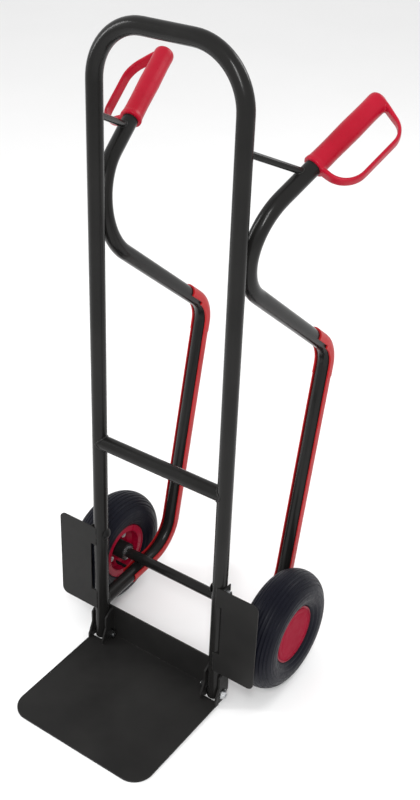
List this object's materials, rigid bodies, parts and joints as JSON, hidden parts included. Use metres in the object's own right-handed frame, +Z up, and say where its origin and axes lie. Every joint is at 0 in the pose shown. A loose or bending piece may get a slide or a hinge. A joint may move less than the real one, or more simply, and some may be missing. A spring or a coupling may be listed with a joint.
{
  "type": "hand truck",
  "caption": "Tubular hand truck with an inverted-U frame, guarded rear hand grips, skid runners, folding toe plate and air-filled wheels.",
  "frame": {"origin": "middle of the truck, under the legs' centre lines, on the underside of the toe plate, which is the floor", "axes": "+Z up, -Y forward over the toe plate, +X along the axle to the right as seen from the load side"},
  "size_m": [0.579, 0.6638, 1.3249],
  "materials": {
    "frame_paint": "semi-gloss powder coat",
    "grip_plastic": "satin moulded",
    "skid_plastic": "satin moulded",
    "rim_paint": "gloss powder coat",
    "cap_plastic": "smooth",
    "tyre_rubber": "moulded rubber",
    "tube_rubber": "matte",
    "hub_black": "satin",
    "black_plastic": "satin",
    "black_hardware": "satin",
    "zinc": "bright zinc plate"
  },
  "bodies": {
    "frame": {"main_frame": "frame_paint", "crossbar": "frame_paint", "side_tube_left": "frame_paint", "side_tube_right": "frame_paint", "stay_rod_left": "frame_paint", "stay_rod_right": "frame_paint", "grip_left": "grip_plastic", "grip_right": "grip_plastic", "skid_left": "skid_plastic", "skid_right": "skid_plastic", "leg_plug_left": "black_plastic", "leg_plug_right": "black_plastic", "axle_sleeve": "frame_paint", "axle": "zinc", "axle_washers_inner": "zinc", "axle_washers_outer": "zinc", "axle_lock_rings": "zinc", "wheel_guard_left": "frame_paint", "wheel_guard_right": "frame_paint", "guard_bolts": "black_plastic", "guard_nuts": "zinc", "hinge_bolts": "zinc", "hinge_head_washers": "zinc", "hinge_spacers": "black_plastic", "hinge_back_washers": "black_plastic", "hinge_nuts": "black_hardware"},
    "toe": {"toe_plate": "frame_paint", "hinge_ear_left": "frame_paint", "hinge_ear_right": "frame_paint"},
    "wheel_left": {"tyre_left": "tyre_rubber", "inner_tube_left": "tube_rubber", "rim_inner_left": "rim_paint", "rim_outer_left": "rim_paint", "hub_left": "hub_black", "bearing_inner_left": "zinc", "bearing_outer_left": "zinc", "rim_bolts_left": "zinc", "rim_nuts_left": "zinc", "hub_cap_left": "cap_plastic", "valve_left": "tube_rubber"},
    "wheel_right": {"tyre_right": "tyre_rubber", "inner_tube_right": "tube_rubber", "rim_inner_right": "rim_paint", "rim_outer_right": "rim_paint", "hub_right": "hub_black", "bearing_inner_right": "zinc", "bearing_outer_right": "zinc", "rim_bolts_right": "zinc", "rim_nuts_right": "zinc", "hub_cap_right": "cap_plastic", "valve_right": "tube_rubber"}
  },
  "joints": [
    {"name": "toe_fold", "type": "hinge", "parent": "frame", "child": "toe", "pos_m": [0, 0.00113, 0.01997], "axis": [-1, 0, 0], "range_deg": [0, 92]},
    {"name": "wheel_left_spin", "type": "hinge", "parent": "frame", "child": "wheel_left", "pos_m": [-0.2218, 0.136, 0.13], "axis": [1, 0, 0], "continuous": true},
    {"name": "wheel_right_spin", "type": "hinge", "parent": "frame", "child": "wheel_right", "pos_m": [0.2218, 0.136, 0.13], "axis": [1, 0, 0], "continuous": true}
  ]
}
